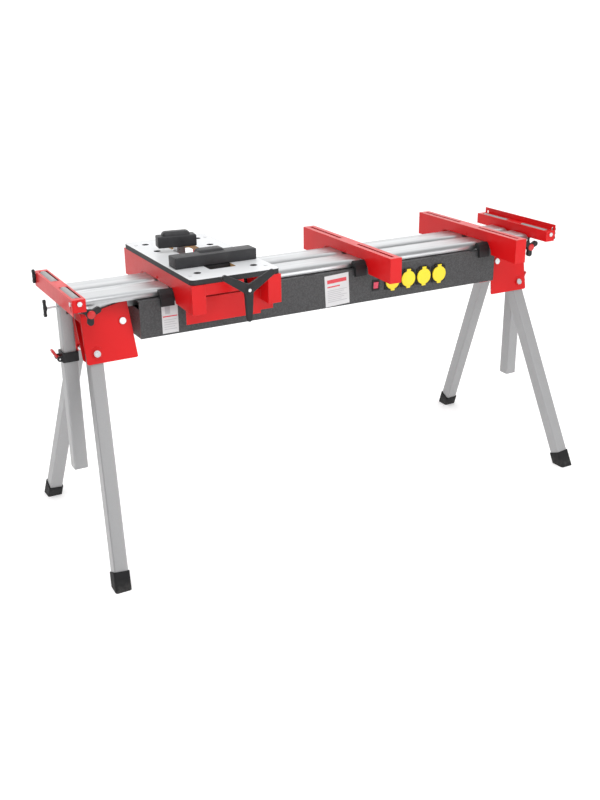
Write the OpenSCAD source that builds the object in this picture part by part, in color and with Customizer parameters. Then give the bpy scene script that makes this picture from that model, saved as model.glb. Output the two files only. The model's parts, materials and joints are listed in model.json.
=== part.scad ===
// Folding stand for a bench saw: a beam on four folding legs, with two
// pull-out support arms, two sliding machine mounts, a vise table and a
// socket panel. The origin is on the floor under the middle of the beam,
// +X runs along the beam, +Y to the back and +Z up.

/* [Beam] */
// Length of the aluminium beam
beam_l = 1466; // [1300:1:1800]
// Width of the beam over both humps
beam_w = 194; // [180:1:240]
// Height of the beam's crown above the floor
beam_z = 722; // [600:1:870]
// Depth of the humps down to the beam's outer lip
hump_d = 20; // [17:1:26]
// Wall of the beam
beam_wall = 3; // [2:0.5:4]

/* [Arms] */
// Width of an arm tube
arm_w = 38; // [30:1:44]
// Height of an arm tube
arm_h = 32; // [26:1:38]
// Length of an arm tube
arm_l = 700; // [600:1:720]
// Length of the roller channel
head_l = 344; // [280:1:412]
// Width of the roller channel
head_w = 33; // [28:1:40]
// Height of the roller channel
head_h = 33; // [28:1:40]
// Height of the roller channel's top above the beam's crown
head_up = 23; // [18:1:30]
// Radius of the rollers
roller_r = 12.5; // [9:0.5:13]
// Height of the stop plate
stop_h = 41; // [34:1:49]
// Distance that the right stop plate is raised
stop_raise = 17; // [5:1:24]

/* [Drop legs] */
// Width of the drop leg's upper tube
drop_in = 34; // [28:1:36]
// Wall of the drop leg's lower tube
drop_wall = 1.6; // [1:0.1:2.5]
// Height of the stowed drop leg's end above the floor
drop_z0 = 229; // [190:1:260]
// Length of the drop leg's lower tube
drop_l = 331; // [280:1:350]
// Distance of the drop leg behind the beam's centre line
drop_y = -18; // [-30:1:30]

/* [Legs] */
// Width of a leg tube
leg_w = 38; // [30:1:40]
// Wall of a leg tube
leg_wall = 2; // [1.5:0.5:3]
// Height of a leg's pivot above the floor
pivot_z = 560; // [450:1:700]
// Distance of a leg's pivot from the end of the beam
pivot_in = 29; // [28:1:40]
// Distance of a leg's pivot from the beam's centre line
pivot_y = 72; // [60:1:76]
// Splay of the legs to the front and the back
splay_y = 23.55; // [15:0.5:26]
// Splay of the legs along the beam
splay_x = 5.06; // [0:0.5:8]

/* [Tray] */
// Width of the tray
tray_w = 234; // [224:1:270]
// Height of the tray
tray_h = 102; // [85:1:120]
// Thickness of the tray's sheet
tray_t = 2; // [1:0.5:3]

/* [Machine mounts] */
// Length of a mount, front to back
mount_l = 500; // [430:1:600]
// Width of a mount
mount_w = 38; // [30:1:46]
// Height of a mount's top above the beam's crown
mount_up = 32; // [26:1:38]
// Height of a mount's ends
mount_h = 72; // [60:1:84]
// Position of the first machine mount's middle
mount_x1 = 126.6; // [60:1:160]
// Position of the second machine mount's middle
mount_x2 = 574.5; // [480:1:580]
// Width of the mounting slots
slot_w = 8.5; // [6:0.5:10]

/* [Vise table] */
// Width of the vise table
table_w = 254; // [220:1:290]
// Length of the vise table, front to back
table_l = 494; // [440:1:560]
// Thickness of the vise table's top
table_t = 14; // [10:1:18]
// Position of the vise table's middle
table_x = -363.6; // [-420:1:-330]
// Width of the jaw slot
jaw_slot_w = 76; // [70:1:100]
// Length of the jaw slot
jaw_slot_l = 320; // [260:1:330]
// Radius of the bench dog holes
dog_r = 10; // [8:0.5:12]
// Radius of the vise screw
screw_r = 7; // [5:0.5:8]
// Turn of the rear jaw
jaw_turn = -9; // [-12:1:12]

/* [Socket panel] */
// Position of the first socket
socket_x = 202; // [190:1:220]
// Distance between sockets
socket_step = 56; // [54:1:62]
// Radius of a socket lid
lid_r = 24; // [20:0.5:24]

/* [Hidden] */
$fn = 48;

// General fits
slide_gap = 0.4;        // flat faces that slide on each other
pin_gap = 0.06;         // a pin in its hole
eps = 0.02;
sheet = 3;              // thick folded sheet
thin = 2;               // thin folded sheet

// Beam section
beam_x = beam_l / 2;
hump_r = hump_d - 4;    // radius of the humps' shoulders
lip_z = beam_z - hump_d;
valley_w = 12;          // flat valley between the humps
valley_d = 7;           // depth of the valley below the crown
arm_play = 3;           // space around an arm tube in its channel
chan_w = arm_w + 2 * arm_play;
chan_h = arm_h + 2 * arm_play;
chan_y = beam_w / 4 - 4.5;
arm_z = beam_z - beam_wall - chan_h / 2;
chan_z0 = beam_z - 2 * beam_wall - chan_h;

// Tray
tray_z1 = lip_z - 2;
tray_z0 = tray_z1 - tray_h;
bracket_w = 140;        // length of a leg bracket along the beam
tray_rib_x = 111;       // ribs across the tray
tray_l = beam_l - 2 * bracket_w - 14;
lip_w = (tray_w - beam_w) / 2 - 2;
tray_front = -tray_w / 2;

// Leg brackets
plate_tilt = 11.1;
bracket_z0 = pivot_z - 13;
bracket_y0 = pivot_y + 32;
pivot_x = beam_x - pivot_in;
leg_run = pivot_z / (cos(splay_y) * cos(splay_x));
leg_top = 50;           // tube above the pivot
pivot_r = 5;
foot_t = 3;
foot_grip = 20;

// Arm head
head_top = beam_z + head_up;
head_x0 = beam_x + 9;
head_x1 = head_x0 + head_w;
axle_z = head_top + 1.5 - roller_r;
axle_x = head_x0 + head_w / 2;
axle_r = 4;
window_l = 120;
window_y = 94;
stop_y = head_l / 2 - 12;
stud_r = 3;

// Drop leg
drop_out = drop_in + 2 * drop_wall + 2 * slide_gap;
drop_x = head_x1 - thin - drop_in / 2;
drop_pivot_z = beam_z - 31;
drop_upper_z0 = drop_z0 + 21;
drop_lower_z1 = drop_z0 + drop_l;
tongue_z = drop_pivot_z - 19;
hub_r = 13;
tab_r = 17;             // hanger tab around the drop leg's pivot
hub_x = head_x0 + thin + 5.6;  // inner face of the hub's moving half

// Mounts
mount_z1 = beam_z + mount_up;
mount_z0 = mount_z1 - mount_h;
recess_z = beam_z + slide_gap;
mount_slot_l = mount_l - 310;
mount_slot_y = mount_l / 4 + 16;
mount_slot_y0 = 1;      // the slots lie a little towards the back
recess_r = 36;
recess_y = beam_w / 2 + 39;
cam_y = -(beam_w / 2 + 15);
cam_z = beam_z - 8;
cam_pin_r = 3;
cam_blade_w = 37;

// Vise table
table_z1 = beam_z + mount_up + 5 + table_t;
table_z0 = table_z1 - table_t;
vise_up = mount_up + 5;
vise_x1 = table_x - table_w / 2 + mount_w / 2;
vise_x2 = table_x + table_w / 2 - mount_w / 2;
slot_y0 = -jaw_slot_l / 2 - 6;
panel_y = -mount_l / 2 + 48;
screw_z = table_z0 - 10;
screw_y0 = -312;
front_jaw_y = -101.5;
front_jaw_w = 57;
rear_jaw_x = table_x - jaw_slot_w / 2 + 13;
rear_jaw_y = 75;
rear_jaw_in = 8;        // distance of the rear jaw's middle from its stem
jaw_h = 30;
jaw_pin_r = 8;
jaw_pin_l = 12;

// ---------- helpers ----------

// mirrors its children to the left side when s is -1
module side(s) {
    mirror([s < 0 ? 1 : 0, 0, 0]) children();
}

// mirrors its children to the front when s is -1
module depth(s) {
    mirror([0, s < 0 ? 1 : 0, 0]) children();
}

// box from its lowest and highest corners
module box(a, b) {
    translate(a) cube(b - a);
}

module rod_x(r, l) {
    rotate([0, 90, 0]) cylinder(r = r, h = l);
}

// cylinder that runs towards the back
module rod_y(r, l) {
    rotate([-90, 0, 0]) cylinder(r = r, h = l);
}

// rectangle with rounded corners, from its lowest and highest corners
module round_rect(a, b, r) {
    translate([a[0] + r, a[1]]) square([b[0] - a[0] - 2 * r, b[1] - a[1]]);
    translate([a[0], a[1] + r]) square([b[0] - a[0], b[1] - a[1] - 2 * r]);
    for (x = [a[0] + r, b[0] - r], y = [a[1] + r, b[1] - r]) translate([x, y]) circle(r);
}

// stadium of length l and width w along Y
module slot_2d(l, w) {
    for (s = [-1, 1]) translate([0, s * (l - w) / 2]) circle(w / 2);
    square([w, l - w], center = true);
}

// square tube, closed or open
module square_tube(w, h, t, l) {
    linear_extrude(l) difference() {
        round_rect([-w / 2, -h / 2], [w / 2, h / 2], 4);
        round_rect([-w / 2 + t, -h / 2 + t], [w / 2 - t, h / 2 - t], 4 - t * 0.8);
    }
}

// hexagon head along +Z
module hex_head(af, h) {
    cylinder(r = af / 2 / cos(30), h = h, $fn = 6);
}

// three-lobe knob grip in the XY plane, hub at the origin
module lobes(reach, tip_r, h, first) {
    for (a = [0:2]) rotate(first + 120 * a) {
        translate([0, -tip_r * 0.7, 0]) cube([reach, tip_r * 1.4, h]);
        translate([reach, 0, 0]) cylinder(r = tip_r, h = h);
    }
}

// three flat arms in the XY plane that narrow to round tips, hub at the origin
module tapered_arms(reach, root, tip_r, h, first) {
    for (a = [0:2]) rotate(first + 120 * a) {
        linear_extrude(h) polygon([[0, -root], [reach, -tip_r * 0.97], [reach, tip_r * 0.97], [0, root]]);
        translate([reach, 0, 0]) cylinder(r = tip_r, h = h);
    }
}

// ---------- beam ----------

// half of the beam's outline, y to the back; the face is grown inwards by t
module hump(t) {
    r = hump_r - t;
    y0 = valley_w / 2 - 2 + t;
    y1 = beam_w / 2 - t;
    top = beam_z - t;
    foot_z = lip_z - (t > 0 ? 1 : 0);
    intersection() {
        translate([y0, foot_z]) square([y1 - y0, top - foot_z]);
        union() {
            translate([y0 + r, foot_z]) square([y1 - y0 - 2 * r, top - foot_z]);
            translate([y0, foot_z]) square([y1 - y0, top - r - foot_z]);
            for (y = [y0 + r, y1 - r]) translate([y, top - r]) circle(r);
        }
    }
}

module channel(t) {
    translate([chan_y - chan_w / 2 - beam_wall + t, chan_z0 + t])
        square([chan_w + 2 * beam_wall - 2 * t, chan_h + 2 * beam_wall - 2 * t]);
}

module beam_section() {
    for (s = [-1, 1]) mirror([s < 0 ? 1 : 0, 0]) difference() {
        union() {
            difference() {
                hump(0);
                hump(beam_wall);
            }
            difference() {
                channel(0);
                translate([-beam_w, beam_z]) square([2 * beam_w, 10]);
            }
        }
        channel(beam_wall);
    }
    translate([-valley_w / 2, beam_z - valley_d - beam_wall]) square([valley_w, beam_wall]);
    translate([-(chan_y - chan_w / 2 - beam_wall) - eps, chan_z0])
        square([2 * (chan_y - chan_w / 2 - beam_wall) + 2 * eps, beam_wall]);
}

module beam() {
    color([0.82, 0.83, 0.84])
        difference() {
            translate([-beam_x, 0, 0]) rotate([90, 0, 90]) linear_extrude(beam_l) beam_section();
            for (s = [-1, 1]) side(s)
                translate([lock_x, -beam_w / 2, lock_z]) rod_y(lock_r + 0.5, beam_w / 2 - chan_y);
        }
}

lock_z = lip_z - 12;
lock_r = 4;
lock_x = beam_x - 14;
lock_head_y = -(beam_w / 2 + 22);

module arm_guides() {
    guide_l = 24;
    color([0.08, 0.08, 0.09])
        for (s = [-1, 1], d = [-1, 1]) side(s) depth(d)
            translate([beam_x - guide_l - 26, 0, 0]) rotate([90, 0, 90]) linear_extrude(guide_l) difference() {
                channel(beam_wall + 0.2);
                translate([chan_y - arm_w / 2 - slide_gap, arm_z - arm_h / 2 - slide_gap])
                    square([arm_w + 2 * slide_gap, arm_h + 2 * slide_gap]);
            }
}

// ---------- tray ----------

module tray_section() {
    h = tray_w / 2;
    difference() {
        translate([-h, tray_z0]) square([tray_w, tray_h]);
        translate([-h + tray_t, tray_z0 + tray_t]) square([tray_w - 2 * tray_t, tray_h - 2 * tray_t]);
        translate([-h + lip_w, tray_z0 + 2 * tray_t]) square([tray_w - 2 * lip_w, tray_h]);
    }
}

module tray() {
    end_t = tray_t;
    color([0.23, 0.24, 0.25]) difference() {
        union() {
            translate([-tray_l / 2, 0, 0]) rotate([90, 0, 90]) linear_extrude(tray_l) tray_section();
            for (s = [-1, 1]) side(s) {
                box([tray_l / 2 - end_t, -tray_w / 2 + eps, tray_z0 + eps],
                    [tray_l / 2 - eps, tray_w / 2 - eps, chan_z0 - 0.1]);
                box([tray_l / 2 - 22, -60, tray_z0 + tray_t - eps], [tray_l / 2 - end_t + eps, 60, tray_z0 + tray_t + 1]);
            }
            for (x = [-tray_rib_x, tray_rib_x]) box([x - 1, -tray_w / 2 + tray_t - eps, tray_z0 + tray_t - eps],
                [x + 1, tray_w / 2 - tray_t + eps, chan_z0 - 0.1]);
        }
        for (i = [0:3]) translate([socket_x + i * socket_step, tray_front - 1, panel_z]) rod_y(19.5, tray_t + 2);
        translate([switch_x, 0, panel_z - 6])
            box([-10.5, tray_front - 1, -13.5], [10.5, tray_front + tray_t + 1, 13.5]);
        translate([inlet_x, 0, panel_z]) box([-24, tray_w / 2 - tray_t - 1, -24], [24, tray_w / 2 + 1, 24]);
        for (i = [0:7]) translate([-tray_l / 2 + (i + 0.5) * tray_l / 8, 0, 0])
            box([-18, tray_front + 4, tray_z1 - tray_t - 1], [18, tray_front + 9, tray_z1 + 1]);
    }
}

panel_z = tray_z0 + 51;
rocker_in = 1;          // depth of the rocker's pins behind the panel
switch_x = socket_x - socket_step;
inlet_x = -80;

// ---------- electrics ----------

module switch_frame() {
    color([0.07, 0.07, 0.08]) translate([switch_x, tray_front, panel_z - 6]) difference() {
        union() {
            box([-12.5, -2.5, -15.5], [12.5, -0.05, 15.5]);
            box([-10.3, -0.1, -13.3], [10.3, 26, 13.3]);
        }
        box([-8.6, -3, -11.6], [8.6, 20, 11.6]);
        for (s = [-1, 1]) translate([s > 0 ? 8 : -9.7, rocker_in, 0]) rod_x(1.5 + pin_gap, 1.7);
    }
}

module switch_rocker() {
    color([0.72, 0.05, 0.12]) translate([switch_x, tray_front, panel_z - 6]) {
        rotate([0, 90, 0]) translate([0, 0, -8.2]) linear_extrude(16.4)
            polygon([[-9.8, 2], [-9.8, -4.2], [-5, -2.6], [0, -1.9], [5, -1.4], [9.8, -1.2], [9.8, 2], [5, 9], [-5, 9]]);
        translate([-9.4, rocker_in, 0]) rod_x(1.5, 18.8);
    }
}

module socket_flange() {
    difference() {
        union() {
            rotate([90, 0, 0]) linear_extrude(3) round_rect([-25, -25], [25, 25], 4);
            rod_y(19.3, 34);
            for (s = [-1, 1]) box([s * 11 - 3, -9, 24], [s * 11 + 3, -2.9, 27.2 + 2.8]);
        }
        translate([0, -4, 0]) rod_y(17.5, 22);
        for (s = [-1, 1]) translate([s * 9.5, 10, 0]) rod_y(2.5, 20);
        translate([-20, -6, 27]) rod_x(1.5 + pin_gap, 40);
    }
}

module socket_flanges() {
    color([0.09, 0.09, 0.10]) for (i = [0:3])
        translate([socket_x + i * socket_step, tray_front - 0.05, panel_z]) socket_flange();
}

// sprung lid: a disc with a tab at the bottom and a hinge knuckle at the top
module socket_lid(i) {
    color([0.93, 0.86, 0.10]) translate([socket_x + i * socket_step, tray_front - 0.05, panel_z]) {
        translate([0, -8.2, 0]) rod_y(lid_r, 4.6);
        box([-7, -8.2, -lid_r - 4.5], [7, -3.8, -lid_r + 4]);
        box([-7.4, -8.2, lid_r - 4], [7.4, -3.9, 27]);
        translate([-7.4, -6, 27]) rod_x(2.7, 14.8);
        translate([-13.6, -6, 27]) rod_x(1.5, 27.2);
    }
}

module power_inlet() {
    color([0.10, 0.10, 0.11]) translate([inlet_x, tray_w / 2 + 0.05, panel_z]) difference() {
        union() {
            box([-30, 0, -30], [30, 4, 30]);
            box([-23.5, -26, -23.5], [23.5, 0.1, 23.5]);
            translate([0, 3.9, 0]) rod_y(21, 26);
        }
        translate([0, 6, 0]) rod_y(18, 30);
    }
    color([0.75, 0.76, 0.78]) translate([inlet_x, tray_w / 2 + 0.05, panel_z])
        for (a = [0:2]) rotate([0, 120 * a, 0]) translate([9, 5, 0]) rod_y(2.4, 16);
}

// ---------- leg brackets ----------

// local frame of the front right leg: origin at the pivot, Z up along the leg,
// Y along the pivot bolt to the back
module leg_frame() {
    translate([pivot_x, -pivot_y, pivot_z]) rotate([-splay_y, 0, 0]) rotate([0, -splay_x, 0]) children();
}

bracket_h = lip_z - 5 - bracket_z0;
bracket_top_x = beam_x - bracket_w + 11;

// frame of the front plate: X along the beam, Y up the plate, Z out of it
module plate_frame() {
    translate([0, -bracket_y0, bracket_z0]) rotate([90 - plate_tilt, 0, 0]) children();
}

module bracket_plate() {
    h = bracket_h / cos(plate_tilt);
    translate([0, 0, -sheet]) linear_extrude(sheet) polygon([[beam_x - bracket_w, 3], [beam_x - bracket_w + 3, 0],
        [beam_x - 4, 0], [beam_x, 4], [beam_x, h - 25], [bracket_top_x + 12, h], [bracket_top_x, h]]);
    // return along the outer edge
    translate([beam_x - sheet, 30, -9]) cube([sheet, h - 60, 9 - sheet + eps]);
}

cheek_in = leg_w / 2 + 2;

module bracket(s) {
    top_z = chan_z0 - 0.3;
    cheek_h = (top_z - pivot_z - cheek_in * sin(splay_y)) / cos(splay_y) - 1;
    color([0.80, 0.05, 0.06]) side(s) difference() {
        union() {
            for (d = [-1, 1]) depth(d) {
                plate_frame() bracket_plate();
                // inner cheek that carries the pivot bolt, parallel to the leg
                translate([0, -pivot_y, pivot_z]) rotate([-splay_y, 0, 0]) rotate([90, 0, 0])
                    translate([0, 0, -cheek_in - sheet]) linear_extrude(sheet)
                        polygon([[beam_x - 78, -4], [beam_x - 60, -14], [beam_x - 12, -14], [beam_x - 4, -6],
                            [beam_x - 4, cheek_h], [beam_x - 78, cheek_h]]);
                // boss for the pivot bolt
                leg_frame() translate([0, -bracket_y0 + pivot_y - 1, 0]) rod_y(12, 10);
            }
            // top plate under the arm channels
            box([beam_x - bracket_w + 12, -bracket_top_y, top_z - sheet], [beam_x - 1, bracket_top_y, top_z]);
            // end band
            box([beam_x - sheet - 1, -bracket_top_y, top_z - 24], [beam_x - 1, bracket_top_y, top_z]);
            // web that joins both cheeks
            box([beam_x - 78, -40, pivot_z + 40], [beam_x - 75, 40, top_z - sheet + eps]);
        }
        for (d = [-1, 1]) depth(d) {
            leg_frame() translate([0, -60, 0]) rod_y(pivot_r + pin_gap, 120);
            leg_frame() translate([0, 10, detent_up]) rod_y(plunger_r + pin_gap, 50);
            plate_frame() translate([bolt_x, bolt_up, -20]) cylinder(r = 5.2, h = 40);
            // nothing stands proud of the boss's outer face
            leg_frame() translate([0, -boss_out - 8, 0]) rod_y(20, 8);
        }
    }
}

bracket_top_y = bracket_y0 - (chan_z0 - bracket_z0) * tan(plate_tilt) - 1;
bolt_x = beam_x - 110;
bolt_up = 102;          // along the plate, from its lower edge
detent_up = 40;         // above the pivot, along the leg
plunger_r = 6;
plunger_l = 12;
boss_out = bracket_y0 - pivot_y + 0.6;

// everything that is screwed into the frame and stays with it
module frame_fasteners() {
    color([0.80, 0.80, 0.81]) for (s = [-1, 1], d = [-1, 1]) side(s) depth(d) {
        // pivot bolt of a leg, with its nut behind the cheek
        leg_frame() {
            translate([0, -boss_out, 0]) rod_y(pivot_r, boss_out + cheek_in + sheet + 9);
            translate([0, -boss_out - 5, 0]) rod_y(9, 5);
            translate([0, cheek_in + sheet + 0.1, 0]) rotate([-90, 0, 0]) hex_head(15, 6);
        }
        // bolt from the bracket's plate into the tray's end
        plate_frame() translate([bolt_x, bolt_up, 0]) {
            cylinder(r = 9, h = 5);
            translate([0, 0, -14]) cylinder(r = 4.6, h = 14.1);
        }
    }
    // detent plungers that hold the legs open
    color([0.07, 0.07, 0.08]) for (s = [-1, 1], d = [-1, 1]) side(s) depth(d) leg_frame()
        translate([0, leg_w / 2 + 0.5, detent_up]) rod_y(plunger_r, plunger_l);
    // threaded bosses for the arm locks
    color([0.55, 0.56, 0.58]) for (s = [-1, 1]) side(s) difference() {
        box([lock_x - 9, -chan_y - chan_w / 2 - beam_wall - 10, lock_z - 8],
            [lock_x + 9, -chan_y - chan_w / 2 - beam_wall - 0.05, lock_z + 8 - 0.4]);
        translate([lock_x, -beam_w / 2, lock_z]) rod_y(lock_r + pin_gap, beam_w / 2);
    }
}

// ---------- legs ----------

module leg(s, d) {
    color([0.66, 0.67, 0.68]) side(s) depth(d) leg_frame() difference() {
        union() {
            translate([0, 0, -leg_run + 24]) square_tube(leg_w, leg_w, leg_wall, leg_run + leg_top - 24);
            // bush for the pivot bolt
            translate([0, -leg_w / 2 + 0.5, 0]) rod_y(9, leg_w - 1);
        }
        translate([0, -leg_w, 0]) rod_y(pivot_r + pin_gap, 2 * leg_w);
        // upper corners cut back so that the tube clears the plates as it folds
        for (k = [-1, 1]) translate([k * leg_w / 2, -leg_w, leg_top]) rotate([0, 45, 0])
            box([-7, 0, -7], [7, 2 * leg_w, 7]);
    }
}

module foot(s, d) {
    w = leg_w + 2 * foot_t;
    color([0.06, 0.06, 0.07]) side(s) depth(d) difference() {
        leg_frame() difference() {
            translate([0, 0, -leg_run - 24]) linear_extrude(24 + 24 + foot_grip)
                round_rect([-w / 2, -w / 2], [w / 2, w / 2], 6);
            translate([0, 0, -leg_run + 24 - 0.05]) linear_extrude(200)
                round_rect([-leg_w / 2 - 0.05, -leg_w / 2 - 0.05], [leg_w / 2 + 0.05, leg_w / 2 + 0.05], 4);
        }
        box([0, -600, -200], [2000, 0, 0]);
    }
}

// ---------- pull-out arms ----------

module arm_tubes(s) {
    color([0.62, 0.63, 0.64]) side(s) for (d = [-1, 1])
        translate([head_x0 - arm_l, d * chan_y, arm_z]) rotate([0, 90, 0]) square_tube(arm_h, arm_w, 2, arm_l - 0.05);
}

module roller_channel(s) {
    z0 = head_top - head_h;
    y = head_l / 2;
    color([0.80, 0.05, 0.06]) side(s) difference() {
        union() {
            difference() {
                box([head_x0, -y, z0], [head_x1, y, head_top]);
                box([head_x0 + thin, -y + thin, z0 + thin], [head_x1 - thin, y - thin, head_top - thin]);
            }
            // skirt that closes the arm tubes and carries the drop leg
            box([head_x0, -chan_y - arm_w / 2 - 4, arm_z - arm_h / 2 - 4], [head_x0 + thin, chan_y + arm_w / 2 + 4, z0 + eps]);
            box([head_x0, drop_y - tab_r, drop_pivot_z], [head_x0 + thin, drop_y + tab_r, arm_z]);
            translate([head_x0, drop_y, drop_pivot_z]) rod_x(tab_r, thin);
        }
        for (k = [-1, 1]) translate([0, k * window_y, 0])
            box([head_x0 + 5, -window_l / 2, head_top - thin - 1], [head_x1 - 5, window_l / 2, head_top + 1]);
        translate([axle_x, -y - 1, axle_z]) rod_y(axle_r + pin_gap, head_l + 2);
        for (k = [-1, 1]) translate([head_x1 - thin - 1, k * stop_y, stud_z]) rod_x(stud_r + pin_gap, thin + 2);
        translate([head_x0 - 1, drop_y, drop_pivot_z]) rod_x(stud_r + pin_gap + 1, thin + 2);
        // relief above the drop leg's upper end
        box([drop_x - drop_in / 2 - 1, drop_y - 20, z0 - 1], [head_x1 - thin - 1.5, drop_y + 20, z0 + thin + 1]);
    }
}

stud_z = head_top - 12;

// axle with its end nuts, and the rivet that guides the stop plate
module channel_axle(s) {
    y = head_l / 2;
    color([0.78, 0.78, 0.79]) side(s) {
        translate([axle_x, -y - 4, axle_z]) rod_y(axle_r, head_l + 8);
        for (d = [-1, 1]) depth(d) translate([axle_x, y + 0.1, axle_z]) rotate([-90, 0, 0]) hex_head(12, 4);
        translate([head_x1 - thin - 4, -stop_side(s) * stop_y, stud_z]) {
            rod_x(stud_r, thin + 4 + thin + 1);
            translate([thin + 4 + thin + 0.6, 0, 0]) rod_x(6, 2.5);
            translate([-0.4, 0, 0]) rod_x(5, 4.2);
        }
        // fixed half of the drop leg's toothed hub
        translate([head_x0 + thin + 0.05, drop_y, drop_pivot_z]) difference() {
            rod_x(hub_r, 4.5);
            translate([-1, 0, 0]) rod_x(stud_r + 0.4, 8);
        }
    }
}

// the wing knob sits at the back of the left plate and the front of the right one
function stop_side(s) = -s;
function stop_z(s) = s > 0 ? stop_raise : 0;

module rollers(s) {
    l = window_l - 4;
    color([0.72, 0.72, 0.70]) side(s) for (k = [-1, 1]) translate([axle_x, k * window_y - l / 2, axle_z]) difference() {
        rod_y(roller_r, l);
        translate([0, -1, 0]) rod_y(axle_r + pin_gap, l + 2);
    }
}

module stop_plate(s) {
    x = head_x1 + slide_gap;
    z1 = head_top + stop_z(s);
    slot_l = stop_raise + 2 * stud_r + 1.5;
    color([0.84, 0.06, 0.07]) side(s) difference() {
        box([x, -head_l / 2, z1 - stop_h], [x + thin, head_l / 2, z1]);
        for (k = [-1, 1]) translate([x - 1, k * stop_y, stud_z + stop_z(s) - stop_raise / 2])
            rotate([90, 0, 90]) linear_extrude(thin + 2) slot_2d(slot_l, 2 * stud_r + 1);
    }
}

// wing knob with its stud, along +X from the origin
module wing_knob(stud_l, r, wing) {
    color([0.6, 0.6, 0.62]) translate([-stud_l, 0, 0]) rod_x(stud_r, stud_l + 4);
    color([0.06, 0.06, 0.07]) {
        rod_x(r, 9);
        for (a = [-1, 1]) rotate([a * 90 + 90, 0, 0]) {
            box([1, -4, 0], [9, 4, wing]);
            translate([1, 0, wing]) rod_x(6, 8);
        }
    }
}

module stop_knob(s) {
    side(s) translate([head_x1 + slide_gap + thin + 0.4, stop_side(s) * stop_y, stud_z])
        wing_knob(slide_gap + thin + 0.4 + thin + 5, 7, 13);
}

// ---------- drop legs ----------

module drop_leg_upper(s) {
    color([0.62, 0.63, 0.64]) side(s) difference() {
        union() {
            translate([drop_x, drop_y, drop_upper_z0])
                square_tube(drop_in, drop_in, 2, drop_pivot_z + 17 - drop_upper_z0);
            // moving half of the toothed hub, welded into the cut end
            translate([hub_x, drop_y, drop_pivot_z]) rod_x(hub_r, drop_x + drop_in / 2 - 1.5 - hub_x);
        }
        // the inner half of the upper end is cut away for the hub
        box([drop_x - drop_in, drop_y - drop_in, tongue_z], [hub_x, drop_y + drop_in, drop_pivot_z + 40]);
        difference() {
            box([drop_x - drop_in, drop_y - drop_in, tongue_z], [head_x0 + thin + 12, drop_y + drop_in, drop_pivot_z + 40]);
            translate([head_x0, drop_y, drop_pivot_z]) rod_x(hub_r, 40);
        }
        translate([head_x0, drop_y, drop_pivot_z]) rod_x(stud_r + pin_gap, 60);
        // rounded end
        difference() {
            box([drop_x - 30, drop_y - 30, drop_pivot_z + 4], [drop_x + 30, drop_y + 30, drop_pivot_z + 40]);
            translate([drop_x - 31, drop_y, drop_pivot_z]) rod_x(17, 62);
        }
    }
}

module drop_leg_lower(s) {
    color([0.66, 0.67, 0.68]) side(s) translate([drop_x, drop_y, drop_z0]) {
        square_tube(drop_out, drop_out, drop_wall, drop_l);
        linear_extrude(4) round_rect([-drop_out / 2 + 1, -drop_out / 2 + 1], [drop_out / 2 - 1, drop_out / 2 - 1], 3);
    }
}

collar_z0 = drop_lower_z1 - 18;
collar_h = 26;
lever_x = drop_x + drop_out / 2 + 9;
lever_z = collar_z0 + 10;
lever_lean = 30;
lever_l = 22;
lever_t = 8;

module drop_collar(s) {
    w = drop_out / 2;
    color([0.06, 0.06, 0.07]) side(s) difference() {
        union() {
            translate([drop_x, drop_y, collar_z0]) linear_extrude(collar_h)
                round_rect([-w - 3.5, -w - 3.5], [w + 3.5, w + 3.5], 6);
            for (k = [-1, 1]) translate([drop_x + w, drop_y + k * 13 - 3, lever_z]) {
                box([0, 0, -7], [9, 6, 7]);
                translate([9, 0, 0]) rod_y(7, 6);
            }
        }
        translate([drop_x, drop_y, collar_z0 - 1]) linear_extrude(drop_lower_z1 - collar_z0 + 1.05)
            round_rect([-w - 0.05, -w - 0.05], [w + 0.05, w + 0.05], 4);
        translate([drop_x, drop_y, collar_z0]) linear_extrude(collar_h + 1)
            round_rect([-drop_in / 2 - slide_gap, -drop_in / 2 - slide_gap],
                [drop_in / 2 + slide_gap, drop_in / 2 + slide_gap], 4);
        translate([lever_x, drop_y - 30, lever_z]) rod_y(2.5 + pin_gap, 60);
    }
}

module drop_lever(s) {
    color([0.80, 0.08, 0.08]) side(s) translate([lever_x, drop_y, lever_z]) {
        translate([0, -15.5, 0]) rod_y(2.5, 31);
        translate([0, -9.6, 0]) rod_y(5, 19.2);
        // blade with a round end, leaning away from the leg
        rotate([0, lever_lean, 0]) translate([-2, 0, 0]) rotate([90, 0, 90]) linear_extrude(lever_t)
            polygon(concat([[-9, 0], [9, 0]], [for (a = [0:15:180]) [9 * cos(a), lever_l + 9 * sin(a)]]));
    }
}

module drop_knob(s) {
    x = head_x1 + slide_gap + thin + 24;
    color([0.75, 0.75, 0.77]) side(s) translate([head_x0 - 6, drop_y, drop_pivot_z]) {
        rod_x(stud_r, x - head_x0 + 7);
        rotate([0, 90, 0]) hex_head(10, 4);
    }
    side(s) translate([x, drop_y, drop_pivot_z]) wing_knob(0.5, 8, 17);
}

// ---------- arm locks ----------

module arm_lock(s) {
    tip_y = -chan_y - arm_w / 2 - 0.15;
    side(s) translate([lock_x, 0, lock_z]) {
        color([0.7, 0.7, 0.72]) translate([0, lock_head_y, 0]) rod_y(lock_r, tip_y - lock_head_y);
        color([0.06, 0.06, 0.07]) translate([0, lock_head_y - 14, 0]) {
            rod_y(13, 18);
            rotate([-90, 0, 0]) translate([0, 0, 1]) lobes(24, 7, 12, s > 0 ? -25 : -155);
        }
        color([0.82, 0.05, 0.06]) translate([0, lock_head_y - 17, 0]) rod_y(11, 3.1);
    }
}

// ---------- machine mounts ----------

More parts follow.
